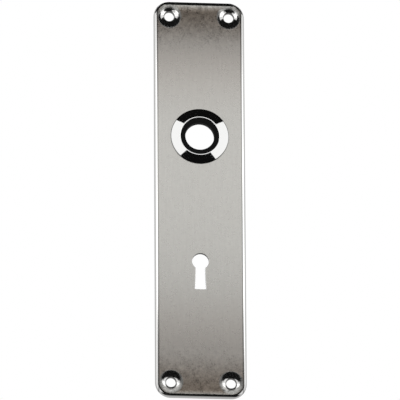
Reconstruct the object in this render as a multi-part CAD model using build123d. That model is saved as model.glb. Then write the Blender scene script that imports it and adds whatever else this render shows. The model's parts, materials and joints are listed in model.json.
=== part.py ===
from build123d import *
import math
import os

# Long door backplate for a lever handle and a bit key.
# A pressed sheet tray stands off the door on its turned-down rim and on four dished screw holes.
# A polished collar is clinched into its handle hole, and a black bearing bush sits in the collar.
# Millimetres. X runs across the plate, Z runs up the door, and -Y points out of the door.
# The origin is the middle of the four screws, on the plane of the door.
# Heights called "out" are measured from the door plane towards the room.

# Pressed plate
plate_length = 180.5
plate_width = 39.0
plate_depth = 2.2
sheet = 1.0
rim_radius = 1.5

# Dished screw holes, one at each corner, and the flat that is left between a dish and the rim
screw_hole_radius = 2.1
dish_radius = 4.45
dish_half_angle = 63.0
dish_round = 3.0
flat_beside_dish = 0.75
flat_beyond_dish = 0.8

# Heights of the handle and of the keyhole from the middle of the plate
handle_above_middle = 28.1
lock_centres = 57.0

# Keyhole
key_head_radius = 3.55
key_neck_width = 4.06
key_foot_width = 4.95
key_drop = 12.65
key_corner_round = 0.3
punch_round = 0.15

# Polished collar
collar_radius = 12.5
collar_edge = 0.35
collar_slope = 10.0
collar_edge_break = 0.15
lip_radius = 8.25
lip_land = 0.45
lip_break = 0.12
neck_wall = 0.75
neck_clearance = 0.05
clinch_overhang = 0.8
clinch_thickness = 0.6
clinch_break = 0.3

# Bearing bush
bush_bore_radius = 6.2
bush_clearance = 0.02
bush_setback = 0.35
bush_edge_break = 0.2
bore_edge_break = 0.3
bush_flange_overhang = 0.9
bush_flange_thickness = 0.5

# Two lengths that differ by less than this are the same length
closeness = 1e-3

# Levels, radii and places that follow from the sizes above. Each corner is struck about its screw.
sheet_back = plate_depth - sheet
screw_from_side = rim_radius + flat_beside_dish + dish_radius
screw_from_end = rim_radius + flat_beyond_dish + dish_radius
corner_radius = screw_from_end
dish_slope = math.tan(math.radians(dish_half_angle))
key_height = handle_above_middle - lock_centres
neck_radius = lip_radius + neck_wall
clinch_back = sheet_back - clinch_thickness
collar_rise = (collar_radius - lip_radius - lip_land) * math.tan(math.radians(collar_slope))
lip_top = plate_depth + collar_edge + collar_rise
bush_radius = lip_radius - bush_clearance
bush_front = lip_top - bush_setback
bush_back = clinch_back - bush_flange_thickness
handle_axis = Axis((0, 0, handle_above_middle), (0, -1, 0))


def half_section(centre_x, centre_z, points):
    """Face of (radius, out) points in the plane through an axis that stands on the door."""
    section = Plane(origin=(centre_x, 0, centre_z), x_dir=(1, 0, 0), z_dir=(0, 0, -1))
    return section * make_face(Polyline(*points, close=True))


def corner_of(section, centre_z, radius, out):
    """Corner of a half section that lies nearest to a radius and a level."""
    return section.vertices().sort_by_distance((radius, -out, centre_z))[0]


def tray(width, length, corner, depth, edge_round):
    """Rounded rectangle raised from the door plane, with its front edge rounded over."""
    block = extrude(Plane.XZ * RectangleRounded(width, length, corner), depth)
    front_edges = block.faces().sort_by(Axis.Y)[0].edges()
    return fillet(front_edges, edge_round)


def in_face(edge):
    """True for an edge that lies in the front face of the plate."""
    box = edge.bounding_box()
    return abs(box.min.Y + plate_depth) < closeness and abs(box.max.Y + plate_depth) < closeness


def screw_places():
    """Middle of each screw hole, as (x, z)."""
    half_x = plate_width / 2 - screw_from_side
    half_z = plate_length / 2 - screw_from_end
    return [(side * half_x, end * half_z) for end in (1, -1) for side in (-1, 1)]


def dish_cut(x, z):
    """What the press pushes in and the punch cuts out at one screw hole."""
    cone_depth = (dish_radius - screw_hole_radius) / dish_slope
    section = half_section(x, z, [
        (0, 0),
        (screw_hole_radius, 0),
        (screw_hole_radius, plate_depth - cone_depth),
        (dish_radius, plate_depth),
        (0, plate_depth),
    ])
    return revolve(section, Axis((x, 0, z), (0, -1, 0)))


def dish_back(x, z):
    """Outside of the same dish behind the sheet, one sheet thickness away from its cone."""
    front_radius = dish_radius + sheet / math.cos(math.radians(dish_half_angle))
    section = half_section(x, z, [
        (0, 0),
        (front_radius - plate_depth * dish_slope, 0),
        (front_radius, plate_depth),
        (0, plate_depth),
    ])
    return revolve(section, Axis((x, 0, z), (0, -1, 0)))


def keyhole_cut():
    """Round head over a foot whose sides start straight and flare downwards, through the sheet."""
    neck_out = key_neck_width / 2
    foot_out = key_foot_width / 2
    neck_down = math.sqrt(key_head_radius ** 2 - neck_out ** 2)
    right_neck = (neck_out, -neck_down)
    left_neck = (-neck_out, -neck_down)
    right_foot = (foot_out, -key_drop)
    left_foot = (-foot_out, -key_drop)
    slot = make_face([
        Polyline(left_neck, (-neck_out, 0), (neck_out, 0), right_neck),
        TangentArc(right_neck, right_foot, tangent=(0, -1)),
        Line(right_foot, left_foot),
        TangentArc(left_neck, left_foot, tangent=(0, -1)),
    ])
    outline = Circle(key_head_radius) + slot
    foot_corners = outline.vertices().sort_by(Axis.Y)[:2]
    outline = fillet(foot_corners, key_corner_round)
    return extrude(Plane.XZ * Pos(0, key_height) * outline, plate_depth)


def make_backplate():
    """Pressed tray of even thickness with its dishes, handle hole and keyhole."""
    outside = tray(plate_width, plate_length, corner_radius, plate_depth, rim_radius)
    for x, z in screw_places():
        outside -= dish_cut(x, z)
    mouths = [edge for edge in outside.edges().filter_by(GeomType.CIRCLE)
              if in_face(edge) and abs(edge.radius - dish_radius) < closeness]
    outside = fillet(mouths, dish_round)

    hollow = tray(plate_width - 2 * sheet, plate_length - 2 * sheet, corner_radius - sheet,
                  sheet_back, rim_radius - sheet)
    for x, z in screw_places():
        hollow -= dish_back(x, z)

    handle_hole = extrude(Plane.XZ * Pos(0, handle_above_middle) * Circle(neck_radius + neck_clearance),
                          plate_depth)
    plate = outside - hollow - handle_hole - keyhole_cut()
    return round_keyhole(plate)


def round_keyhole(plate):
    """Roll the front edge of the keyhole over, as a punch leaves it."""
    reach = max(key_head_radius, key_foot_width / 2) + closeness
    lowest = key_height - key_drop - closeness
    highest = key_height + key_head_radius + closeness
    rim = []
    for edge in plate.edges().filter_by(in_face):
        box = edge.bounding_box()
        across = -reach < box.min.X and box.max.X < reach
        along = lowest < box.min.Z and box.max.Z < highest
        if across and along:
            rim.append(edge)
    return fillet(rim, punch_round)


def make_collar():
    """Turned ring with a low cone in front, a neck through the plate and a clinched back edge."""
    clinch_radius = neck_radius + clinch_overhang
    crest_radius = lip_radius + lip_land
    section = half_section(0, handle_above_middle, [
        (lip_radius, clinch_back),
        (clinch_radius, clinch_back),
        (clinch_radius, sheet_back),
        (neck_radius, sheet_back),
        (neck_radius, plate_depth),
        (collar_radius, plate_depth),
        (collar_radius, plate_depth + collar_edge),
        (crest_radius, lip_top),
        (lip_radius, lip_top),
    ])
    broken_edges = [
        (clinch_radius, clinch_back, clinch_break),
        (collar_radius, plate_depth + collar_edge, collar_edge_break),
        (crest_radius, lip_top, lip_break),
        (lip_radius, lip_top, lip_break),
    ]
    for radius, out, size in broken_edges:
        section = chamfer(corner_of(section, handle_above_middle, radius, out), size)
    return revolve(section, handle_axis)


def make_bush():
    """Moulded bearing bush with a flat front and a flange behind the collar."""
    flange_radius = bush_radius + bush_flange_overhang
    section = half_section(0, handle_above_middle, [
        (bush_bore_radius, bush_back),
        (flange_radius, bush_back),
        (flange_radius, clinch_back),
        (bush_radius, clinch_back),
        (bush_radius, bush_front),
        (bush_bore_radius, bush_front),
    ])
    broken_edges = [
        (bush_bore_radius, bush_front, bore_edge_break),
        (flange_radius, bush_back, bush_edge_break),
    ]
    for radius, out, size in broken_edges:
        section = chamfer(corner_of(section, handle_above_middle, radius, out), size)
    return revolve(section, handle_axis)


os.makedirs("parts", exist_ok=True)
pieces = {
    "backplate": make_backplate(),
    "collar": make_collar(),
    "bearing_bush": make_bush(),
}
for node, piece in pieces.items():
    export_step(piece, f"parts/{node}.step")
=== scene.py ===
"""Door backplate: a pressed satin plate, a polished collar and a black bearing bush on a plain stage."""
import json
import math

import bpy
import numpy as np
from bpy.props import FloatProperty, FloatVectorProperty, PointerProperty
from bpy.types import NodeSocket, Operator, Panel, PropertyGroup
from mathutils import Matrix, Vector
from mathutils.geometry import delaunay_2d_cdt


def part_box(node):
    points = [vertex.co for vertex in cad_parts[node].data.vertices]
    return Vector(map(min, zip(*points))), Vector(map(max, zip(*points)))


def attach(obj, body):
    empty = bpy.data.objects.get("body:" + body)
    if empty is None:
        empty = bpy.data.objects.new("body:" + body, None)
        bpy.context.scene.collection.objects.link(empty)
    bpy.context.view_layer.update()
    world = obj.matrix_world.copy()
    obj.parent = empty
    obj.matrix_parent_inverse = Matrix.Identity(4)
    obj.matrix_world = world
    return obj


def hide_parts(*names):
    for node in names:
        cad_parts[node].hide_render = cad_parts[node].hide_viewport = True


bl_info = {
    "name": "Door backplate",
    "version": (1, 0, 0),
    "blender": (4, 5, 0),
    "location": "3D View > Sidebar > Backplate",
    "description": "Pressed door backplate with its collar, its bearing bush and a plain studio",
    "category": "Object",
}

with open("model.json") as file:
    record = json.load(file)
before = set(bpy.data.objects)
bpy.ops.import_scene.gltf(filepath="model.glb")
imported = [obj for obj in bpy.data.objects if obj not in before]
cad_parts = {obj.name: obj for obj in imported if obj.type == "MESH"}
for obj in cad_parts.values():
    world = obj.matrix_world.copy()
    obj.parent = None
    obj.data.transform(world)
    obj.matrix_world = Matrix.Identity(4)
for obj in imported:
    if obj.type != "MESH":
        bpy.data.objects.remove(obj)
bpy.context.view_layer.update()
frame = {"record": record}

MM = 0.001
MOUNTS = {mount["name"]: mount for mount in frame["record"]["mounts"]}
SCREWS = MOUNTS["fixing_screws"]["dims"]
BORE = MOUNTS["handle_bore"]
HANDLE_Z = BORE["pos_m"][2]
PLATE_LOW, PLATE_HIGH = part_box("backplate")
COLLAR_LOW, COLLAR_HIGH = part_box("collar")
BUSH_LOW, BUSH_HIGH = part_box("bearing_bush")

# How finely curved surfaces are divided
QUARTER_STEPS = 14
CORNER_STEPS = 28
DISH_STEPS = 112
RING_STEPS = 288
HEAD_STEPS = 72
SIDE_STEPS = 16
CURL_STEPS = 18
ROW_STEPS = 32

# Points closer than this are one point, also in a fill. A round over a whole side takes just less than it.
WELD = 1e-7
FILL_CLOSENESS = 1e-9
FULL_ROUND = 1 - 1e-9

# The rows across a curled end lie this far on each side of where its curl stops, and this far from edges
CREASE = 0.01 * MM
ROW_CLEARANCE = 0.12 * MM

# Satin wraps over the edge of the face up to these sines of the turn, and fades between shares of them.
# What turns so far that its outward part is under EDGE_TURN is an edge.
SIDE_WRAP = math.sin(math.radians(9))
DOWN_WRAP = math.sin(math.radians(12))
UP_WRAP = math.sin(math.radians(7))
WRAP_SPAN = (0.4, 1.1)
EDGE_TURN = 0.75

# Where effects on the plate start and end, as shares of half its length or of their own radius or width
WARM_SPAN = (0.35, 0.75)
# The painted shade of the face's ends starts and is full at these shares of half its length
END_SHADE_SPAN = (0.76, 0.97)
SPECK_SPAN = (0.7, 1.0)
POLISH_SPAN = (0.94, 1.06)
# The painted shade in the dishes fades out across these shares of the mouth radius
DISH_SPAN = (0.95, 1.05)
# Painted shade along the face's sides: full within the first share of the border width from the rim's inner
# edge, gone at the second
BORDER_SPAN = (0.3, 0.9)
BAND_FADE = 0.5

# Edges are the keyhole's within so many radii of its head across, and such a share of half the plate along
KEY_REACH = 2.0
KEY_LIMIT = 0.8

# Noise on each finish: its stretch, then the scale of its grain and of its blotches
FACE_NOISE = ((1.0, 1.0, 0.9), 2000.0, 650.0)
BRUSH_NOISE = ((1.0, 1.0, 0.06), 1400.0, 300.0)
PIT_NOISE = ((1.0, 1.0, 1.0), 1500.0, 170.0)
COLLAR_NOISE = ((1.0, 1.0, 1.0), 3000.0, 300.0)
BUSH_NOISE = ((1.0, 1.0, 1.0), 5000.0, 500.0)
NOISE_DETAIL = {"Grain": 3.0, "Blotch": 4.0}
NOISE_ROUGHNESS = 0.6

# How strongly the plate is shaded, in pairs of its ends and its middle
GRAIN_SHADE = (1.7, 0.1)
BLOTCH_SHADE = (1.6, 0.2)
# Strength of the painted shade along the face's sides, at the ends and in the middle
BORDER_SHADE = (0.55, 0.3)
BRUSH_SHADE = 0.15
PIT_SPAN = (0.52, 0.62)
PATCH_SPAN = (0.42, 0.6)
LOWER_PITS = 0.4
# At the screw holes the painted shade and the rougher finish of the hole walls come at this share
SCREW_RAW = 0.75
RAW_ROUGHNESS = 0.5
FACE_BLUR = 0.06

# Collar and bush: blotches, changes of gloss and skin
# Painted shadow where the collar sits on the plate: from none to full, in edge radii inside its outer radius
COLLAR_SHADE_SPAN = (1.5, 1.0)
COLLAR_HAZE = 0.06
COLLAR_BLUR = 0.02
BUSH_BLUR = 0.2
SKIN_STRENGTH = 0.15
SKIN_DEPTH = 0.02 * MM
BUSH_SPECULAR = 0.05

# Soft edges of the surroundings, as half widths or as spans along an axis, and of the floor
WALL_SOFT = 0.05
FOOT_SOFT = 0.06
LOW_WALL_SOFT = 0.09
LOW_FOOT_SOFT = 0.1
CEILING_SOFT = 0.02
WING_SPAN = (0.7, 0.8)
REAR_SPAN = (0.15, 0.35)
BEHIND_SPAN = (0.0, 0.25)
FLOOR_FADE = 0.55


def metres(name, description, default):
    """Length property, given in metres."""
    return FloatProperty(name=name, description=description, default=default, unit="LENGTH", precision=6)


def mm(name, description, default):
    """Length property, given in millimetres."""
    return metres(name, description, default * MM)


def angle_of(name, description, degrees):
    """Angle property, given in degrees and kept in radians."""
    return FloatProperty(name=name, description=description, default=math.radians(degrees),
                         subtype="ANGLE")


def share_of(name, description, default):
    """Share or brightness, from nothing up."""
    return FloatProperty(name=name, description=description, default=default, min=0.0, soft_max=1.0,
                         subtype="FACTOR")


def colour_of(name, description, default):
    """Linear colour property, with full alpha added."""
    return FloatVectorProperty(name=name, description=description, default=(*default, 1.0), size=4,
                               min=0.0, max=1.0, subtype="COLOR")


class PlateSizes(PropertyGroup):
    """Sizes of the pressed plate, its dished screw holes and its keyhole."""

    width: metres("Width", "Across the door", PLATE_HIGH.x - PLATE_LOW.x)
    length: metres("Length", "Up the door", PLATE_HIGH.z - PLATE_LOW.z)
    depth: metres("Depth", "From the door to the face", PLATE_HIGH.y - PLATE_LOW.y)
    sheet: mm("Sheet", "Thickness of the metal", 1.0)
    rim_round: mm("Rim round", "Outer radius of the turned edge", 1.5)
    edge_round: mm("Edge round", "Radius of the sheared edges on the door", 0.12)
    screws_across: mm("Screws across", "Between screws across the plate", SCREWS["spacing_x_mm"])
    screws_along: mm("Screws along", "Between screws along the plate", SCREWS["spacing_y_mm"])
    screw_hole: mm("Screw hole", "Radius of a screw hole", SCREWS["hole_r_mm"])
    dish_radius: mm("Dish radius", "Radius of a dish at the face", 4.45)
    dish_angle: angle_of("Dish angle", "Between the dish wall and its axis", 63.0)
    dish_round: mm("Dish round", "Radius of the dish mouth", 3.0)
    dimple_round: mm("Dimple round", "Radius of the hollow of a dish", 5.6)
    hole_round: mm("Hole round", "Rolled edge of a screw hole", 0.9)
    punch_round: mm("Punch round", "Rolled edge of the keyhole", 0.15)
    top_polish: mm("Top polish", "Radius of the polish in a top dish", 4.6)
    bottom_polish: mm("Bottom polish", "Radius of the polish in a bottom dish", 3.95)
    polish_shift: mm("Polish shift", "From a dish inwards to its polish", 1.05)
    top_band: mm("Top band", "Polished band along the face's top", 0.35)
    top_curl: mm("Top curl", "How far the face's top end curls up", 0.165)
    bottom_curl: mm("Bottom curl", "How far the face's bottom end curls up", 0.06)
    top_curl_length: mm("Top curl length", "Length of the curl at the top", 3.4)
    bottom_curl_length: mm("Bottom curl length", "Length of the curl at the bottom", 2.4)
    bottom_overlap: mm("Bottom overlap", "How far the bottom curl runs over the rim", 0.375)
    # Painted shade: a dark strip along the face's sides where it meets the rim
    border: mm("Border", "Width of the dark line along the face's sides", 0.5)
    handle_hole: mm("Handle hole", "Radius of the collar's hole", 9.05)
    key_below: mm("Key below handle", "From the handle to the keyhole", 57.0)
    key_head: mm("Key head", "Radius of the keyhole head", 3.55)
    key_neck: mm("Key neck", "Width of the keyhole under its head", 4.06)
    key_foot: mm("Key foot", "Width of the keyhole at its foot", 4.95)
    key_drop: mm("Key drop", "From the head's middle to the foot", 12.65)
    key_corner: mm("Key corner", "Radius of the foot's corners", 0.3)


class CollarSizes(PropertyGroup):
    """Sizes of the polished collar."""

    radius: metres("Radius", "Outer radius", (COLLAR_HIGH.x - COLLAR_LOW.x) / 2)
    top: metres("Top", "From the door to the lip", -COLLAR_LOW.y)
    back: metres("Back", "From the door to the clinched edge", -COLLAR_HIGH.y)
    edge: mm("Edge", "Height of the outer edge on the face", 0.35)
    edge_round: mm("Edge round", "Radius of the outer edge", 0.2)
    lip_radius: mm("Lip radius", "Inner radius", 8.25)
    lip_land: mm("Lip land", "Width of the flat lip", 0.45)
    lip_round: mm("Lip round", "Radius of the lip's inner edge", 0.25)
    crest_round: mm("Crest round", "Radius where the cone meets the lip", 0.5)
    neck: mm("Neck", "Radius of the neck in the plate", 9.0)
    clinch: mm("Clinch", "Radius of the clinched edge", 9.8)
    clinch_round: mm("Clinch round", "Radius of the clinched edge's round", 0.3)


class BushSizes(PropertyGroup):
    """Sizes of the bearing bush."""

    bore: mm("Bore", "Radius of the bore", BORE["dims"]["r_mm"])
    radius: mm("Radius", "Radius inside the collar", 8.23)
    flange: metres("Flange", "Radius of the flange behind the collar", (BUSH_HIGH.x - BUSH_LOW.x) / 2)
    front: metres("Front", "From the door to the front", -BUSH_LOW.y)
    back: metres("Back", "From the door to the back", -BUSH_HIGH.y)
    bore_round: mm("Bore round", "Radius of the edge round the bore", 0.3)
    edge_round: mm("Edge round", "Radius of the moulded edges", 0.25)


class Finishes(PropertyGroup):
    """Colours and gloss of the three finishes."""

    satin: colour_of("Satin", "Face of the plate", (0.522, 0.512, 0.484))
    warm: colour_of("Warm", "Face of the plate towards its ends", (0.480, 0.452, 0.419))
    # Painted shade: the face coloured darker and browner at its ends
    end: colour_of("End", "Face of the plate at its ends", (0.320, 0.268, 0.222))
    # Painted shade: the satin inside the dishes coloured darker than the face
    dish: colour_of("Dish", "Satin inside the dishes", (0.37, 0.365, 0.35))
    bright: colour_of("Bright", "Rim, dishes and back of the plate", (0.77, 0.765, 0.755))
    collar: colour_of("Collar", "Polished collar", (0.86, 0.86, 0.85))
    haze: colour_of("Haze", "Faint blotches on the collar", (0.7, 0.7, 0.7))
    # Painted shadow: dark colour on the collar's outer edge where it sits on the plate
    line: colour_of("Line", "Dull line round the collar", (0.16, 0.16, 0.155))
    bush: colour_of("Bush", "Moulded bush", (0.003, 0.003, 0.003))
    mottle: colour_of("Mottle", "Paler blotches on the bush", (0.0048, 0.0048, 0.0048))
    satin_roughness: share_of("Satin roughness", "Blur of the face", 0.28)
    bright_roughness: share_of("Bright roughness", "Blur of the rim and dishes", 0.09)
    # Painted shade: the walls of the keyhole and screw holes coloured dark, on their raw and rougher finish
    punched_shade: colour_of("Punched", "Raw edges of the keyhole and screw holes", (0.12, 0.115, 0.11))
    collar_roughness: share_of("Collar roughness", "Blur of the collar", 0.03)
    bush_roughness: share_of("Bush roughness", "Blur of the bush", 0.5)


class Studio(PropertyGroup):
    """Camera, softbox, surroundings and floor."""

    yaw: angle_of("Yaw", "Camera turned to the left of the plate's normal", 5.15)
    pitch: angle_of("Pitch", "Camera below the plate's normal", 20.75)
    roll: angle_of("Roll", "Camera rolled about its own axis", 0.35)
    distance: metres("Distance", "From the camera to the plate", 3.92)
    view_width: metres("View width", "Width of the picture at the plate", 0.17082)
    aim_right: mm("Aim right", "Aim beside the plate's middle", -0.06)
    aim_down: mm("Aim down", "Aim under the plate's middle", 0.93)
    box_width: metres("Softbox width", "Width of the softbox", 0.5)
    box_near: metres("Softbox near edge", "From the door to its upper edge", 0.134)
    box_far: metres("Softbox far edge", "From the door to its lower edge", 0.337)
    box_top: metres("Softbox top", "Height of its upper edge", 0.1261)
    box_bottom: metres("Softbox bottom", "Height of its lower edge", 0.049)
    box_right: metres("Softbox right", "Its middle to the right of the plate", 0.019)
    box_turn: angle_of("Softbox turn", "Its right end turned to the door", 11.0)
    box_tip: angle_of("Softbox tip", "Its right end tipped up", -4.4)
    box_level: share_of("Softbox level", "Brightness of the softbox", 1.06)
    panel_out: metres("Panels out", "From the door to the side panels", 0.14)
    panel_angle: angle_of("Panel angle", "From the mirrored view to the side panels", 26.0)
    panel_width: metres("Panel width", "Width of a side panel", 0.2)
    panel_low: metres("Panel foot", "Height of their lower edge", 0.005)
    panel_high: metres("Panel top", "Height of their upper edge", 0.15)
    panel_level: share_of("Panel level", "Brightness of the side panels", 0.7)
    wall_start: angle_of("Wall start", "From half the yaw to the white walls", 30.0)
    wall_foot: angle_of("Wall foot", "Height of the white walls' foot", 13.0)
    low_start: angle_of("Low wall start", "From half the yaw to the lower walls", 40.0)
    low_foot: angle_of("Low wall foot", "Height of the lower walls' foot", -34.0)
    wall_top: angle_of("Wall top", "Height of the dark ceiling's edge", 33.0)
    wall_level: share_of("Wall level", "Brightness of the white walls", 0.92)
    back_level: share_of("Back level", "Brightness of the wall behind", 0.55)
    table_start: angle_of("Table start", "How far down the pale table starts", 67.0)
    table_level: share_of("Table level", "Brightness of the pale table", 0.4)
    dark_level: share_of("Dark level", "Brightness of what is unlit", 0.004)
    ambient: share_of("Ambient", "Soft light on dull surfaces", 0.9)
    floor_drop: metres("Floor drop", "From the plate's middle to the floor", 0.6)
    floor_radius: metres("Floor radius", "Radius of the floor", 0.65)
    floor_colour: colour_of("Floor colour", "Plain pale floor", (0.8, 0.8, 0.79))


class BackplateSettings(PropertyGroup):
    """Everything that a user would change."""

    plate: PointerProperty(type=PlateSizes)
    collar: PointerProperty(type=CollarSizes)
    bush: PointerProperty(type=BushSizes)
    finish: PointerProperty(type=Finishes)
    studio: PointerProperty(type=Studio)


def rays_at(angle):
    """Unit vectors at an array of angles."""
    return np.stack([np.cos(angle), np.sin(angle)], axis=-1)


def circle(centre, radius, steps):
    """Points of a circle of that radius about a centre, at even angles."""
    return np.asarray(centre) + radius * rays_at(np.linspace(0, 2 * math.pi, steps, endpoint=False))


def profile_pieces(corners, closed):
    """Profile of (across, out, round) corners as straight and round pieces of (points, normals).

    The solid lies to the left of the way round. Each corner with a round is replaced by the arc
    that touches both of its sides, whose tangent length is the round over the tangent of half the
    corner's angle. A bulging arc has normals away from its centre, and a hollow one towards it.
    Sides of no length are left out.
    """
    points = np.array([corner[:2] for corner in corners], float)
    before = np.roll(points, 1, axis=0) - points
    after = np.roll(points, -1, axis=0) - points
    before /= np.linalg.norm(before, axis=1, keepdims=True)
    after /= np.linalg.norm(after, axis=1, keepdims=True)
    starts, ends, arcs = points.copy(), points.copy(), [None] * len(corners)
    for index, corner in enumerate(corners):
        radius = corner[2]
        if radius == 0:
            continue
        half = math.acos(np.clip(before[index] @ after[index], -1, 1)) / 2
        starts[index] += before[index] * radius / math.tan(half)
        ends[index] += after[index] * radius / math.tan(half)
        middle = before[index] + after[index]
        centre = points[index] + middle / np.linalg.norm(middle) * radius / math.sin(half)
        first = math.atan2(*(starts[index] - centre)[::-1])
        side = np.sign(-before[index][0] * after[index][1] + before[index][1] * after[index][0])
        last = first + side * (math.pi - 2 * half)
        steps = max(3, math.ceil(abs(last - first) / (math.pi / 2) * QUARTER_STEPS))
        rays = rays_at(np.linspace(first, last, steps + 1))
        arcs[index] = (centre + radius * rays, rays * side)
    pieces = []
    for index in range(len(corners) if closed else len(corners) - 1):
        following = (index + 1) % len(corners)
        if arcs[index] is not None:
            pieces.append(arcs[index])
        way = starts[following] - ends[index]
        normal = np.array([way[1], -way[0]]) / np.linalg.norm(way)
        pieces.append((np.stack([ends[index], starts[following]]), np.stack([normal, normal])))
    return [piece for piece in pieces if np.ptp(piece[0], axis=0).max() > WELD]


def grid_patch(flat, out, away, rise, around):
    """Patch of (points, normals, faces) from a grid of (x, z) points and the (x, z) parts of its normals.

    Each row has one level out from the door and one outward part of its normals. The quads close
    across the columns where the grid goes around.
    """
    rows, columns = flat.shape[:2]
    level = np.broadcast_to(-out[:, None], (rows, columns))
    lift = np.broadcast_to(-rise[:, None], (rows, columns))
    points = np.stack([flat[..., 0], level, flat[..., 1]], axis=-1)
    normals = np.stack([away[..., 0], lift, away[..., 1]], axis=-1)
    row = np.arange(rows - 1)[:, None]
    column = np.arange(columns if around else columns - 1)[None, :]
    beside = (column + 1) % columns
    quads = [row * columns + column, row * columns + beside,
             (row + 1) * columns + beside, (row + 1) * columns + column]
    return points.reshape(-1, 3), normals.reshape(-1, 3), np.stack(quads, axis=-1).reshape(-1, 4)


def revolve(piece, centre, steps):
    """Profile piece of (radius, out) turned about an axis through (x, z) that stands on the door."""
    points, normals = piece
    rays = circle((0, 0), 1, steps)
    flat = np.asarray(centre) + points[:, :1, None] * rays
    return grid_patch(flat, points[:, 1], normals[:, :1, None] * rays, normals[:, 1], True)


def rounded_path(width, length, corner):
    """Corner centres and unit vectors round a rounded rectangle, anticlockwise from the right."""
    angle = (np.linspace(0, math.pi / 2, CORNER_STEPS + 1)[None, :]
             + np.arange(4)[:, None] * math.pi / 2)
    signs = np.array([[1, 1], [-1, 1], [-1, -1], [1, -1]], float)
    centres = signs * np.array([width / 2 - corner, length / 2 - corner])
    return np.repeat(centres, CORNER_STEPS + 1, axis=0), rays_at(angle).reshape(-1, 2)


def carry(piece, path, corner):
    """Profile piece of (inset, out) carried along a rounded rectangle of that corner radius."""
    points, normals = piece
    centres, rays = path
    flat = centres + (corner - points[:, :1, None]) * rays
    return grid_patch(flat, points[:, 1], -normals[:, :1, None] * rays, normals[:, 1], True)


def keyhole_outline(plate, middle_z, offset):
    """Keyhole outline grown by an offset, anticlockwise, as pieces of (points, normals).

    A round head over a slot whose sides are arcs of one large radius, upright at the neck, that
    flare to the foot. The foot's corners are arcs tangent to the sides and to the foot.
    """
    neck, foot = plate.key_neck / 2, plate.key_foot / 2
    neck_down = math.sqrt(plate.key_head ** 2 - neck ** 2)
    fall = plate.key_drop - neck_down
    bend = ((foot - neck) ** 2 + fall ** 2) / (2 * (foot - neck))
    bend_x = neck + bend
    head = plate.key_head + offset
    grown_down = math.sqrt(head ** 2 - (neck + offset) ** 2)
    corner_up = plate.key_corner - plate.key_drop
    last = math.asin(-(corner_up + neck_down) / (bend + plate.key_corner))
    first = math.asin((grown_down - neck_down) / (bend - offset))
    corner_x = bend_x - (bend + plate.key_corner) * math.cos(last)

    dip = math.atan2(grown_down, neck + offset)
    rays = rays_at(np.linspace(-dip, math.pi + dip, HEAD_STEPS + 1))
    head_piece = (head * rays, rays)

    rays = rays_at(np.linspace(last, first, SIDE_STEPS + 1))
    side_piece = (np.array([bend_x, -neck_down]) - (bend - offset) * rays, rays)

    rays = rays_at(np.linspace(-math.pi / 2, last, QUARTER_STEPS + 1))
    corner_piece = (np.array([corner_x, corner_up]) + (plate.key_corner + offset) * rays, rays)

    level = corner_up - plate.key_corner - offset
    down = np.array([[0.0, -1.0], [0.0, -1.0]])
    foot_piece = (np.array([[-corner_x, level], [corner_x, level]]), down)

    flip = np.array([-1.0, 1.0])
    mirrored = [(points[::-1] * flip, normals[::-1] * flip)
                for points, normals in (side_piece, corner_piece)]
    pieces = [head_piece, *mirrored, foot_piece, corner_piece, side_piece]
    return [(points + np.array([0.0, middle_z]), normals) for points, normals in pieces]


def inside(points, loop):
    """True for points inside a closed loop: a ray to the right crosses it an odd number of times."""
    ahead = np.roll(loop, -1, axis=0)
    x, z = points[:, :1], points[:, 1:]
    spans = (loop[:, 1] > z) != (ahead[:, 1] > z)
    rise = ahead[:, 1] - loop[:, 1]
    safe_rise = np.where(rise == 0, 1, rise)
    cross_x = loop[:, 0] + (z - loop[:, 1]) / safe_rise * (ahead[:, 0] - loop[:, 0])
    return (spans & (x < cross_x)).sum(axis=1) % 2 == 1


def flat_fill(loops, inner, out, facing):
    """Flat sheet at one level between an outline and its holes, in triangles that also use inner points."""
    points = np.concatenate([*loops, inner])
    firsts = np.cumsum([0] + [len(loop) for loop in loops])
    steps = [first + np.arange(len(loop)) for loop, first in zip(loops, firsts)]
    edges = np.concatenate([np.stack([step, np.roll(step, -1)], axis=-1) for step in steps])
    made = delaunay_2d_cdt(points.tolist(), edges.tolist(), [], 1, FILL_CLOSENESS)
    source = np.array([origins[0] for origins in made[3]])
    triangles = source[np.array(made[2])]
    middles = points[triangles].mean(axis=1)
    keep = np.logical_not(np.any([inside(middles, loop) for loop in loops[1:]], axis=0))
    place = np.stack([points[:, 0], np.full(len(points), -out), points[:, 1]], axis=-1)
    normals = np.broadcast_to(np.array([0.0, -facing, 0.0]), place.shape)
    return place, normals, triangles[keep]


def curl_reach(plate, upper):
    """How far from the middle of the plate the curl of its top or bottom end goes on."""
    flat_end = plate.length / 2 - plate.rim_round
    return np.where(upper, flat_end - plate.top_band, flat_end + plate.bottom_overlap)


def curl_rows(plate):
    """Points (x, z) in rows across both curled ends of the face, with two rows where a curl stops."""
    across = np.linspace(-plate.width / 2, plate.width / 2, ROW_STEPS + 1)
    rows = []
    for upper, length in ((True, plate.top_curl_length), (False, plate.bottom_curl_length)):
        reach = float(curl_reach(plate, upper))
        along = np.append(np.linspace(reach - length, reach - CREASE, CURL_STEPS + 1), reach + CREASE)
        side = 1 if upper else -1
        rows.append(np.stack(np.meshgrid(across, side * along), axis=-1).reshape(-1, 2))
    return np.concatenate(rows)


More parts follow.
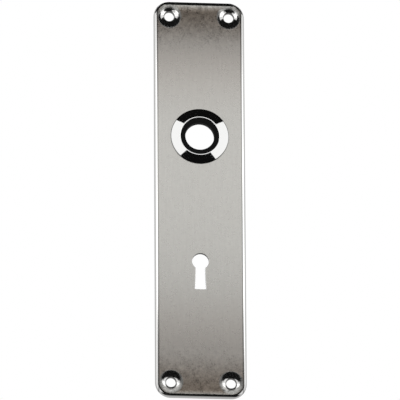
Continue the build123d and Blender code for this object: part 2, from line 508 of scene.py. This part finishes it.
def curl_ends(patch, plate):
    """Patch with the ends of the plate curled up.

    Each point's distance from the door grows, at the face by the curl times the square of the share
    of the curl's length that the point has behind it.
    """
    points, normals, faces = patch
    upper = points[:, 2] > 0
    curl = np.where(upper, plate.top_curl, plate.bottom_curl) / plate.depth
    length = np.where(upper, plate.top_curl_length, plate.bottom_curl_length)
    share = np.clip(1 - (curl_reach(plate, upper) - np.abs(points[:, 2])) / length, 0, 1)
    growth = 1 + curl * share ** 2
    slope = np.where(share < 1, 2 * curl * share / length, 0) * np.sign(points[:, 2])
    bent = np.stack([points[:, 0], points[:, 1] * growth, points[:, 2]], axis=-1)
    out = normals[:, 1] / growth
    turned = np.stack([normals[:, 0], out, normals[:, 2] - points[:, 1] * slope * out], axis=-1)
    return bent, turned / np.linalg.norm(turned, axis=1, keepdims=True), faces


def outward(points, normals, faces):
    """Faces with those turned round whose winding disagrees with the normals of their corners."""
    corner = points[faces]
    middle = faces.shape[1] // 2
    winding = np.cross(corner[:, middle] - corner[:, 0], corner[:, -1] - corner[:, 1])
    wrong = (winding * normals[faces].sum(axis=1)).sum(axis=1) < 0
    return np.where(wrong[:, None], faces[:, ::-1], faces)


def add_object(name, data):
    """New object with its data, in the scene."""
    thing = bpy.data.objects.new(name, data)
    bpy.context.scene.collection.objects.link(thing)
    return thing


def stand(thing, place, right, up, back):
    """Stand an object at a place, with its axes along three directions."""
    thing.matrix_world = Matrix.Translation(place) @ Matrix((right, up, back)).transposed().to_4x4()


def turned_patches(corners):
    """Surfaces of a closed profile turned about the handle's axis."""
    return [revolve(piece, (0, HANDLE_Z), RING_STEPS) for piece in profile_pieces(corners, closed=True)]


def make_piece(name, patches, material):
    """Object from patches of (points, normals, faces), welded where they meet, and its corner normals."""
    points = np.concatenate([patch[0] for patch in patches])
    normals = np.concatenate([patch[1] for patch in patches])
    firsts = np.cumsum([0] + [len(patch[0]) for patch in patches])
    groups = [outward(points, normals, patch[2] + first) for patch, first in zip(patches, firsts)]
    keys = np.round(points / WELD).astype(np.int64)
    chosen, welded = np.unique(keys, axis=0, return_index=True, return_inverse=True)[1:]
    welded = welded.reshape(-1)
    mesh = bpy.data.meshes.new(name)
    mesh.from_pydata(points[chosen].tolist(), [], sum([welded[group].tolist() for group in groups], []))
    mesh.polygons.foreach_set("use_smooth", np.ones(len(mesh.polygons), bool))
    corner_normals = np.concatenate([normals[group].reshape(-1, 3) for group in groups])
    mesh.normals_split_custom_set(corner_normals.tolist())
    mesh.materials.append(material)
    return add_object(name, mesh), corner_normals


class Net:
    """Adds nodes to one tree. A value is a socket, which is linked, or a plain value, which is set."""

    def __init__(self, tree):
        self.tree = tree

    def feed(self, socket, value):
        """Link or set an input."""
        if isinstance(value, NodeSocket):
            self.tree.links.new(value, socket)
        else:
            socket.default_value = value

    def fill(self, node, **values):
        """Give a node its own properties and its inputs by name."""
        for key, value in values.items():
            if hasattr(node, key):
                setattr(node, key, value)
            else:
                self.feed(node.inputs[key.replace("_", " ")], value)
        return node

    def add(self, kind, **values):
        """New node of a kind, filled by name."""
        return self.fill(self.tree.nodes.new(kind), **values)

    def math(self, operation, *values, clamp=False):
        """Result of a math node."""
        node = self.add("ShaderNodeMath", operation=operation, use_clamp=clamp)
        for socket, value in zip(node.inputs, values):
            self.feed(socket, value)
        return node.outputs["Value"]

    def times(self, product, *values):
        """Product of all the values."""
        for value in values:
            product = self.math("MULTIPLY", product, value)
        return product

    def rest(self, share):
        """What a share leaves of the whole."""
        return self.math("SUBTRACT", 1.0, share)

    def larger(self, first, second):
        """Larger of two values."""
        return self.math("MAXIMUM", first, second)

    def length(self, first, second):
        """Length of the side opposite the right angle between two lengths."""
        return self.math("SQRT", self.math("MULTIPLY_ADD", first, first, self.times(second, second)))

    def pick(self, share, full, none):
        """Number that goes from none to full as a share goes from 0 to 1."""
        return self.math("MULTIPLY_ADD", share, full - none, none)

    def sway(self, noise, strength, middle):
        """Middle value with a noise about 0.5 added to it at some strength."""
        return self.math("MULTIPLY_ADD", self.math("SUBTRACT", noise, 0.5), strength, middle)

    def rise(self, value, low, high):
        """Smooth rise from 0 at low to 1 at high."""
        return self.add("ShaderNodeMapRange", interpolation_type="SMOOTHSTEP", Value=value,
                        From_Min=low, From_Max=high).outputs["Result"]

    def edge(self, value, middle, soft):
        """Smooth rise about a middle, with a half width."""
        return self.rise(value, middle - soft, middle + soft)

    def mix(self, share, first, second, kind="RGBA", way="MIX"):
        """Mix of two colours or, by the kind FLOAT, of two values."""
        node = self.add("ShaderNodeMix", data_type=kind)
        if kind == "RGBA":
            node.blend_type = way
        sockets = [socket for socket in node.inputs if socket.enabled]
        for socket, value in zip(sockets, (share, first, second)):
            self.feed(socket, value)
        return next(socket for socket in node.outputs if socket.enabled)

    def parts(self, vector):
        """Sockets X, Y and Z of a vector."""
        return self.add("ShaderNodeSeparateXYZ", Vector=vector).outputs

    def painted(self, name):
        """Value that the mesh holds under a name."""
        return self.add("ShaderNodeAttribute", attribute_name=name).outputs["Fac"]

    def grain(self, place, stretch, grain_scale, blotch_scale):
        """Grain and blotches on Object coordinates that are stretched first."""
        stretched = self.add("ShaderNodeMapping", Vector=place, Scale=stretch).outputs["Vector"]
        group = self.add("ShaderNodeGroup", node_tree=grain_group(), Vector=stretched,
                         Grain_Scale=grain_scale, Blotch_Scale=blotch_scale)
        return group.outputs["Grain"], group.outputs["Blotch"]


def grain_group():
    """Group of two noises on a surface: a fine grain and soft blotches, each centred on 0.5."""
    name = "Surface grain"
    if name in bpy.data.node_groups:
        return bpy.data.node_groups[name]
    group = bpy.data.node_groups.new(name, "ShaderNodeTree")
    group.interface.new_socket("Vector", in_out="INPUT", socket_type="NodeSocketVector")
    for label in NOISE_DETAIL:
        group.interface.new_socket(label + " Scale", in_out="INPUT", socket_type="NodeSocketFloat")
        group.interface.new_socket(label, in_out="OUTPUT", socket_type="NodeSocketFloat")
    entry = group.nodes.new("NodeGroupInput").outputs
    result = group.nodes.new("NodeGroupOutput").inputs
    net = Net(group)
    for label, detail in NOISE_DETAIL.items():
        noise = net.add("ShaderNodeTexNoise", Vector=entry["Vector"], Scale=entry[label + " Scale"],
                        Detail=detail, Roughness=NOISE_ROUGHNESS)
        net.feed(result[label], noise.outputs["Fac"])
    return group


def start_material(name):
    """New material, with the net of its tree, its shader and a socket of Object coordinates."""
    material = bpy.data.materials.new(name)
    material.use_nodes = True
    net = Net(material.node_tree)
    place = net.add("ShaderNodeTexCoord").outputs["Object"]
    return material, net, net.tree.nodes["Principled BSDF"], place


def mouth_radius(plate):
    """Radius at which the rounded mouth of a dish leaves the face."""
    return plate.dish_radius + plate.dish_round * math.tan((math.pi / 2 - plate.dish_angle) / 2)


def plate_masks(net, plate, across, along, upper):
    """Masks of the satin, of the dishes and of the raw edges of holes, which also get painted shade.

    Each dish is polished in a circle that lies nearer to the plate's middle than the dish does.
    """
    beside = net.math("SUBTRACT", across, plate.screws_across / 2)
    beyond = net.math("SUBTRACT", along, plate.screws_along / 2)
    from_screw = net.length(beside, beyond)
    from_polish = net.length(beside, net.math("ADD", beyond, plate.polish_shift))
    polish_radius = net.pick(upper, plate.top_polish, plate.bottom_polish)
    unpolished = net.rise(net.math("DIVIDE", from_polish, polish_radius), *POLISH_SPAN)
    mouth = mouth_radius(plate)
    dished = net.rest(net.rise(net.math("DIVIDE", from_screw, mouth), *DISH_SPAN))
    flat = net.larger(net.painted("satin"), net.math("LESS_THAN", from_screw, mouth))
    flat_end = plate.length / 2 - plate.rim_round
    band = net.rise(along, flat_end - plate.top_band, flat_end - BAND_FADE * plate.top_band)
    satin = net.times(flat, unpolished, net.rest(net.times(upper, band)))
    near_key = net.times(net.math("LESS_THAN", across, KEY_REACH * plate.key_head),
                         net.math("LESS_THAN", along, KEY_LIMIT * plate.length / 2))
    near_screw = net.math("LESS_THAN", from_screw, plate.screw_hole + plate.hole_round)
    holes = net.larger(near_key, net.times(near_screw, SCREW_RAW))
    return satin, dished, net.times(net.painted("edge"), holes)


def uncurled(net, plate, along, upper):
    """Share of the curl's length that lies between a point and the end of the curl."""
    reach = net.pick(upper, float(curl_reach(plate, True)), float(curl_reach(plate, False)))
    length = net.pick(upper, plate.top_curl_length, plate.bottom_curl_length)
    return net.math("DIVIDE", net.math("SUBTRACT", reach, along), length, clamp=True)


def plate_material(finish, plate):
    """Satin plating on the face, warmer and speckled to its ends, polish on the rim and dishes.

    Painted shade makes the face darker and browner towards its ends, darker inside the dishes and on the
    walls of the holes, and darker in a strip along its sides at the rim. The tone goes back to the middle's
    where the face curls up.
    """
    material, net, shader, place = start_material("satin_plate")
    parts = net.parts(place)
    across, along = net.math("ABSOLUTE", parts["X"]), net.math("ABSOLUTE", parts["Z"])
    upper = net.math("GREATER_THAN", parts["Z"], 0.0)
    satin, dished, raw_shaded = plate_masks(net, plate, across, along, upper)

    end_share = net.math("DIVIDE", along, plate.length / 2)
    ends, outer = net.rise(end_share, *SPECK_SPAN), net.rise(end_share, *WARM_SPAN)
    inwards = uncurled(net, plate, along, upper)
    curled = net.rest(inwards)
    tone = net.mix(outer, finish.satin, finish.warm)
    # Painted shade: the face turns darker and browner towards its ends, and goes back to the middle's tone
    # where it curls up
    tone = net.mix(net.rise(end_share, *END_SHADE_SPAN), tone, finish.end)
    tone = net.mix(net.times(curled, curled), tone, finish.satin)
    # Painted shade: darker satin inside the dishes
    tone = net.mix(dished, tone, finish.dish)

    grain, blotch = net.grain(place, *FACE_NOISE)
    brush = net.grain(place, *BRUSH_NOISE)[0]
    speck, patch = net.grain(place, *PIT_NOISE)
    shade = net.sway(grain, net.pick(ends, *GRAIN_SHADE), 1.0)
    shade = net.sway(blotch, net.pick(ends, *BLOTCH_SHADE), shade)
    shade = net.sway(brush, BRUSH_SHADE, shade)
    pits = net.times(net.rise(speck, *PIT_SPAN), net.rise(patch, *PATCH_SPAN),
                     net.pick(upper, 1.0, LOWER_PITS), inwards, ends)
    face = net.mix(1.0, tone, net.math("SUBTRACT", shade, pits), way="MULTIPLY")

    # Painted shade: the walls of the holes are coloured dark; their roughness is a real rougher finish
    polish = net.mix(raw_shaded, finish.bright, finish.punched_shade)
    inner = plate.width / 2 - plate.rim_round
    aside = net.math("ABSOLUTE", net.math("SUBTRACT", across, inner))
    # Painted shade: black mixed into a strip along the face's sides at the rim, stronger towards the ends
    line = net.rest(net.rise(aside, *[share * plate.border for share in BORDER_SPAN]))
    line = net.times(line, net.pick(outer, *BORDER_SHADE))
    colour = net.mix(line, net.mix(satin, polish, face), (0.0, 0.0, 0.0, 1.0))
    dull = net.mix(raw_shaded, finish.bright_roughness, RAW_ROUGHNESS, "FLOAT")
    blur = net.sway(blotch, FACE_BLUR, finish.satin_roughness)
    blur = net.mix(satin, dull, blur, "FLOAT")
    net.fill(shader, Base_Color=colour, Roughness=blur, Metallic=1.0)
    return material


def collar_material(finish, collar):
    """Mirror polish with faint blotches in its gloss, and painted shadow: a dark ring round its outer edge
    where it sits on the plate.
    """
    material, net, shader, place = start_material("polished_collar")
    parts = net.parts(place)
    radius = net.length(parts["X"], net.math("SUBTRACT", parts["Z"], HANDLE_Z))
    # Painted shadow: the collar's outer edge turns dark where it sits on the plate
    line = net.rise(radius, *[collar.radius - share * collar.edge_round for share in COLLAR_SHADE_SPAN])
    blotch = net.grain(place, *COLLAR_NOISE)[1]
    colour = net.mix(net.times(blotch, COLLAR_HAZE), finish.collar, finish.haze)
    colour = net.mix(line, colour, finish.line)
    blur = net.sway(blotch, COLLAR_BLUR, finish.collar_roughness)
    net.fill(shader, Base_Color=colour, Roughness=blur, Metallic=1.0)
    return material


def bush_material(finish):
    """Black moulded plastic with a fine dull skin."""
    material, net, shader, place = start_material("black_bush")
    grain, blotch = net.grain(place, *BUSH_NOISE)
    colour = net.mix(blotch, finish.bush, finish.mottle)
    skin = net.add("ShaderNodeBump", Strength=SKIN_STRENGTH, Distance=SKIN_DEPTH, Height=grain)
    blur = net.sway(grain, BUSH_BLUR, finish.bush_roughness)
    net.fill(shader, Base_Color=colour, Roughness=blur, Normal=skin.outputs["Normal"],
             Specular_IOR_Level=BUSH_SPECULAR)
    return material


def plate_patches(plate):
    """Every surface of the pressed plate."""
    sheet_back = plate.depth - plate.sheet
    corner = plate.length / 2 - plate.screws_along / 2
    path = rounded_path(plate.width, plate.length, corner)
    rim = profile_pieces([
        (plate.rim_round, plate.depth, 0),
        (0, plate.depth, plate.rim_round * FULL_ROUND),
        (0, 0, plate.edge_round),
        (plate.sheet, 0, plate.edge_round),
        (plate.sheet, sheet_back, (plate.rim_round - plate.sheet) * FULL_ROUND),
        (plate.rim_round, sheet_back, 0),
    ], closed=False)
    patches = [carry(piece, path, corner) for piece in rim]

    mouth = mouth_radius(plate)
    slope = math.tan(plate.dish_angle)
    dish_corner = mouth - plate.dimple_round * math.tan((math.pi / 2 - plate.dish_angle) / 2)
    cone_foot = plate.depth - (dish_corner - plate.screw_hole) / slope
    back_top = plate.dish_radius + plate.sheet / math.cos(plate.dish_angle) - plate.sheet * slope
    dish = profile_pieces([
        (mouth, plate.depth, 0),
        (dish_corner, plate.depth, plate.dimple_round * FULL_ROUND),
        (plate.screw_hole, cone_foot, plate.hole_round),
        (plate.screw_hole, 0, 0),
        (back_top - sheet_back * slope, 0, 0),
        (back_top, sheet_back, 0),
    ], closed=False)
    screws = [(side * plate.screws_across / 2, end * plate.screws_along / 2)
              for end in (1, -1) for side in (-1, 1)]
    patches += [revolve(piece, screw, DISH_STEPS) for screw in screws for piece in dish]

    handle = (0, HANDLE_Z)
    wall = profile_pieces([(plate.handle_hole, plate.depth, 0), (plate.handle_hole, sheet_back, 0)],
                          closed=False)
    patches += [revolve(piece, handle, RING_STEPS) for piece in wall]

    key_z = HANDLE_Z - plate.key_below
    patches += keyhole_patches(plate, key_z, sheet_back)

    centres, rays = path
    for out, facing, dish_edge, key_offset in ((plate.depth, 1, mouth, plate.punch_round),
                                               (sheet_back, -1, back_top, 0)):
        loops = [centres + (corner - plate.rim_round) * rays]
        loops += [circle(screw, dish_edge, DISH_STEPS) for screw in screws]
        loops.append(circle(handle, plate.handle_hole, RING_STEPS))
        keyhole = keyhole_outline(plate, key_z, key_offset)
        loops.append(np.concatenate([piece[0][:-1] for piece in keyhole]))
        rows = curl_rows(plate)
        clear = inside(rows, centres + (corner - plate.rim_round - ROW_CLEARANCE) * rays)
        for screw in screws:
            clear &= np.linalg.norm(rows - screw, axis=1) > dish_edge + ROW_CLEARANCE
        patches.append(flat_fill(loops, rows[clear], out, facing))
    return [curl_ends(patch, plate) for patch in patches]


def keyhole_patches(plate, key_z, sheet_back):
    """Wall of the keyhole with its front edge rolled over a quarter circle."""
    turn = np.linspace(0, math.pi / 2, QUARTER_STEPS // 2 + 1)
    offsets = np.concatenate([[0], plate.punch_round * (1 - np.cos(turn))])
    outs = np.concatenate([[sheet_back], plate.depth - plate.punch_round * (1 - np.sin(turn))])
    tilts = np.concatenate([[0], turn])
    outlines = [keyhole_outline(plate, key_z, offset) for offset in offsets]
    patches = []
    for index in range(len(outlines[0])):
        flat = np.stack([outline[index][0] for outline in outlines])
        away = np.stack([outline[index][1] for outline in outlines])
        patches.append(grid_patch(flat, outs, -away * np.cos(tilts)[:, None, None], np.sin(tilts), False))
    return patches


def paint(piece, name, values):
    """Store one value for each face corner under a name that the material reads."""
    mask = piece.data.attributes.new(name, "FLOAT", "CORNER")
    mask.data.foreach_set("value", values.astype(np.float32))


def satin_share(normals):
    """Share of satin from corner normals: full on the face, less as it turns to the rim, none behind.

    It wraps over the sides, further where the surface faces down, and less far where it faces up.
    """
    ends = np.where(normals[:, 2] < 0, DOWN_WRAP, UP_WRAP)
    turn = np.hypot(normals[:, 0] / SIDE_WRAP, normals[:, 2] / ends)
    low, high = WRAP_SPAN
    fall = np.clip((turn - low) / (high - low), 0, 1)
    return np.where(normals[:, 1] < 0, 1 - fall * fall * (3 - 2 * fall), 0)


class BACKPLATE_OT_press_plate(Operator):
    """Press the plate with its rim, dishes, handle hole and keyhole"""

    bl_idname = "backplate.press_plate"
    bl_label = "Press plate"

    def execute(self, context):
        settings = context.scene.backplate
        material = plate_material(settings.finish, settings.plate)
        patches = plate_patches(settings.plate)
        piece, normals = make_piece("plate_pressing", patches, material)
        paint(piece, "satin", satin_share(normals))
        paint(piece, "edge", (np.abs(normals[:, 1]) < EDGE_TURN).astype(float))
        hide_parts("backplate")
        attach(piece, "root")
        return {"FINISHED"}


class BACKPLATE_OT_turn_collar(Operator):
    """Turn the polished collar and clinch it into the plate"""

    bl_idname = "backplate.turn_collar"
    bl_label = "Turn collar"

    def execute(self, context):
        settings = context.scene.backplate
        collar, plate = settings.collar, settings.plate
        sheet_back = plate.depth - plate.sheet
        patches = turned_patches([
            (collar.lip_radius, collar.back, 0),
            (collar.clinch, collar.back, collar.clinch_round),
            (collar.clinch, sheet_back, 0),
            (collar.neck, sheet_back, 0),
            (collar.neck, plate.depth, 0),
            (collar.radius, plate.depth, 0),
            (collar.radius, plate.depth + collar.edge, collar.edge_round),
            (collar.lip_radius + collar.lip_land, collar.top, collar.crest_round),
            (collar.lip_radius, collar.top, collar.lip_round),
        ])
        piece = make_piece("collar_ring", patches, collar_material(settings.finish, collar))[0]
        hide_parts("collar")
        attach(piece, "root")
        return {"FINISHED"}


class BACKPLATE_OT_mould_bush(Operator):
    """Mould the black bearing bush inside the collar"""

    bl_idname = "backplate.mould_bush"
    bl_label = "Mould bush"

    def execute(self, context):
        settings = context.scene.backplate
        bush, collar = settings.bush, settings.collar
        patches = turned_patches([
            (bush.bore, bush.back, 0),
            (bush.flange, bush.back, bush.edge_round),
            (bush.flange, collar.back, 0),
            (bush.radius, collar.back, 0),
            (bush.radius, bush.front, 0),
            (bush.bore, bush.front, bush.bore_round),
        ])
        piece = make_piece("bush_moulding", patches, bush_material(settings.finish))[0]
        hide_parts("bearing_bush")
        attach(piece, "root")
        return {"FINISHED"}


def set_camera(studio, plate):
    """Camera turned by yaw about the plate's upright, then pitch, then roll, looking at the face."""
    turn = (Matrix.Rotation(studio.roll, 3, "Z") @ Matrix.Rotation(-studio.pitch, 3, "X")
            @ Matrix.Rotation(studio.yaw, 3, "Y"))
    right, up, back = [Vector((row[0], -row[2], row[1])) for row in turn]
    aim = Vector((0, -plate.depth, 0)) + right * studio.aim_right - up * studio.aim_down
    data = bpy.data.cameras.new("view")
    data.lens = data.sensor_width * studio.distance / studio.view_width
    data.clip_end = 2 * studio.distance
    camera = add_object("view", data)
    stand(camera, aim + back * studio.distance, right, up, back)
    bpy.context.scene.camera = camera


def add_panel(name, shape, middle, right, up, width, height, level):
    """Even rectangle or ellipse of light of some brightness, seen in reflections but not by the camera."""
    data = bpy.data.lights.new(name, "AREA")
    data.shape = shape
    data.size, data.size_y = width, height
    area = width * height * (math.pi / 4 if shape == "ELLIPSE" else 1)
    data.energy = math.pi * level * area
    light = add_object(name, data)
    stand(light, middle, right, up, right.cross(up))
    light.visible_camera = False


def set_softbox(studio):
    """Softbox that leans from a far lower edge to a near upper one, and an upright panel at each side."""
    lower = Vector((studio.box_right, -studio.box_far, studio.box_bottom))
    upper = Vector((studio.box_right, -studio.box_near, studio.box_top))
    right = Vector((1, math.tan(studio.box_turn), math.tan(studio.box_tip))).normalized()
    up = (upper - lower) - right * right.dot(upper - lower)
    add_panel("softbox", "ELLIPSE", (lower + upper) / 2, right, up.normalized(), studio.box_width, up.length,
              studio.box_level)
    right = Vector((1, 0, 0))
    height = studio.panel_high - studio.panel_low
    for side in (-1, 1):
        inner = studio.panel_out * math.tan(studio.yaw + side * studio.panel_angle)
        middle = Vector((inner + side * studio.panel_width / 2, -studio.panel_out,
                         (studio.panel_high + studio.panel_low) / 2))
        add_panel("side panel", "RECTANGLE", middle, right, Vector((0, 0, 1)), studio.panel_width, height,
                  studio.panel_level)


def set_surroundings(studio):
    """White walls at the sides and behind, a pale table far below, and dark elsewhere.

    Mirrored rays see them, dull surfaces get an even light and the camera sees plain white.
    """
    world = bpy.data.worlds.new("surroundings")
    bpy.context.scene.world = world
    world.use_nodes = True
    net = Net(world.node_tree)
    parts = net.parts(net.add("ShaderNodeTexCoord").outputs["Generated"])
    height = parts["Z"]
    sideways = net.math("ABSOLUTE", parts["X"])
    heading = net.math("ARCTAN2", parts["X"], net.times(parts["Y"], -1.0))
    aside = net.math("ABSOLUTE", net.math("SUBTRACT", heading, studio.yaw / 2))
    wall = net.times(net.edge(aside, studio.wall_start, WALL_SOFT),
                     net.edge(height, math.sin(studio.wall_foot), FOOT_SOFT))
    low_wall = net.times(net.edge(aside, studio.low_start, LOW_WALL_SOFT),
                         net.edge(height, math.sin(studio.low_foot), LOW_FOOT_SOFT))
    walls = net.times(net.larger(wall, low_wall), studio.wall_level)
    wings = net.times(net.rise(sideways, *WING_SPAN), studio.back_level)
    table = net.rest(net.edge(height, -math.sin(studio.table_start), FOOT_SOFT))
    front = net.larger(net.larger(walls, wings), net.times(table, studio.table_level))
    under = net.rest(net.edge(height, math.sin(studio.wall_top), CEILING_SOFT))
    rear = net.times(net.larger(under, net.rise(sideways, *REAR_SPAN)), studio.back_level)
    behind = net.rise(parts["Y"], *BEHIND_SPAN)
    around = net.mix(behind, net.times(front, under), rear, "FLOAT")
    shown = net.larger(around, studio.dark_level)
    rays = net.add("ShaderNodeLightPath").outputs
    lit = net.mix(rays["Is Glossy Ray"], studio.ambient, shown, "FLOAT")
    strength = net.mix(rays["Is Camera Ray"], lit, 1.0, "FLOAT")
    net.fill(net.tree.nodes["Background"], Strength=strength, Color=(1.0, 1.0, 1.0, 1.0))


def floor_material(studio):
    """Pale dull floor that fades out to its edge and isn't seen from underneath or in reflections."""
    material, net, shader, place = start_material("floor")
    nodes = net.tree.nodes
    nodes.remove(shader)
    dull = net.add("ShaderNodeBsdfDiffuse", Color=studio.floor_colour)
    clear = net.add("ShaderNodeBsdfTransparent")
    parts = net.parts(place)
    fade = net.rise(net.length(parts["X"], parts["Y"]), FLOOR_FADE * studio.floor_radius,
                    studio.floor_radius)
    under = net.add("ShaderNodeNewGeometry").outputs["Backfacing"]
    mirrored = net.add("ShaderNodeLightPath").outputs["Is Glossy Ray"]
    hidden = net.larger(net.larger(fade, under), mirrored)
    mix = net.add("ShaderNodeMixShader")
    for socket, value in zip(mix.inputs, (hidden, dull.outputs["BSDF"], clear.outputs["BSDF"])):
        net.feed(socket, value)
    net.feed(nodes["Material Output"].inputs["Surface"], mix.outputs["Shader"])
    return material


class BACKPLATE_OT_set_studio(Operator):
    """Set the camera, the softbox, the surroundings and the floor"""

    bl_idname = "backplate.set_studio"
    bl_label = "Set studio"

    def execute(self, context):
        settings = context.scene.backplate
        studio = settings.studio
        set_camera(studio, settings.plate)
        set_softbox(studio)
        set_surroundings(studio)
        ring = circle((0, 0), studio.floor_radius, RING_STEPS)
        level = np.full((RING_STEPS, 1), -studio.floor_drop)
        mesh = bpy.data.meshes.new("floor")
        mesh.from_pydata(np.hstack([ring, level]).tolist(), [], [list(range(RING_STEPS))])
        mesh.materials.append(floor_material(studio))
        floor = add_object("floor", mesh)
        context.scene.view_settings.view_transform = "Standard"
        return {"FINISHED"}


class BACKPLATE_PT_tools(Panel):
    """Settings and steps of the backplate"""

    bl_idname = "BACKPLATE_PT_tools"
    bl_label = "Door backplate"
    bl_space_type = "VIEW_3D"
    bl_region_type = "UI"
    bl_category = "Backplate"

    def draw(self, context):
        settings = context.scene.backplate
        for label in ("plate", "collar", "bush", "finish", "studio"):
            group = getattr(settings, label)
            box = self.layout.box()
            box.label(text=label.capitalize())
            for key in group.bl_rna.properties.keys():
                if key not in ("rna_type", "name"):
                    box.prop(group, key)
        for operator in OPERATORS:
            self.layout.operator(operator.bl_idname)


OPERATORS = (BACKPLATE_OT_press_plate, BACKPLATE_OT_turn_collar, BACKPLATE_OT_mould_bush,
             BACKPLATE_OT_set_studio)
CLASSES = (PlateSizes, CollarSizes, BushSizes, Finishes, Studio, BackplateSettings, *OPERATORS,
           BACKPLATE_PT_tools)


def register():
    """Register the classes and the settings."""
    for item in CLASSES:
        bpy.utils.register_class(item)
    bpy.types.Scene.backplate = PointerProperty(type=BackplateSettings)


def unregister():
    """Remove the settings and the classes."""
    del bpy.types.Scene.backplate
    for item in reversed(CLASSES):
        bpy.utils.unregister_class(item)


def main():
    """Make every piece and the studio."""
    register()
    bpy.ops.backplate.press_plate()
    bpy.ops.backplate.turn_collar()
    bpy.ops.backplate.mould_bush()
    bpy.ops.backplate.set_studio()


if __name__ == "__main__":
    main()
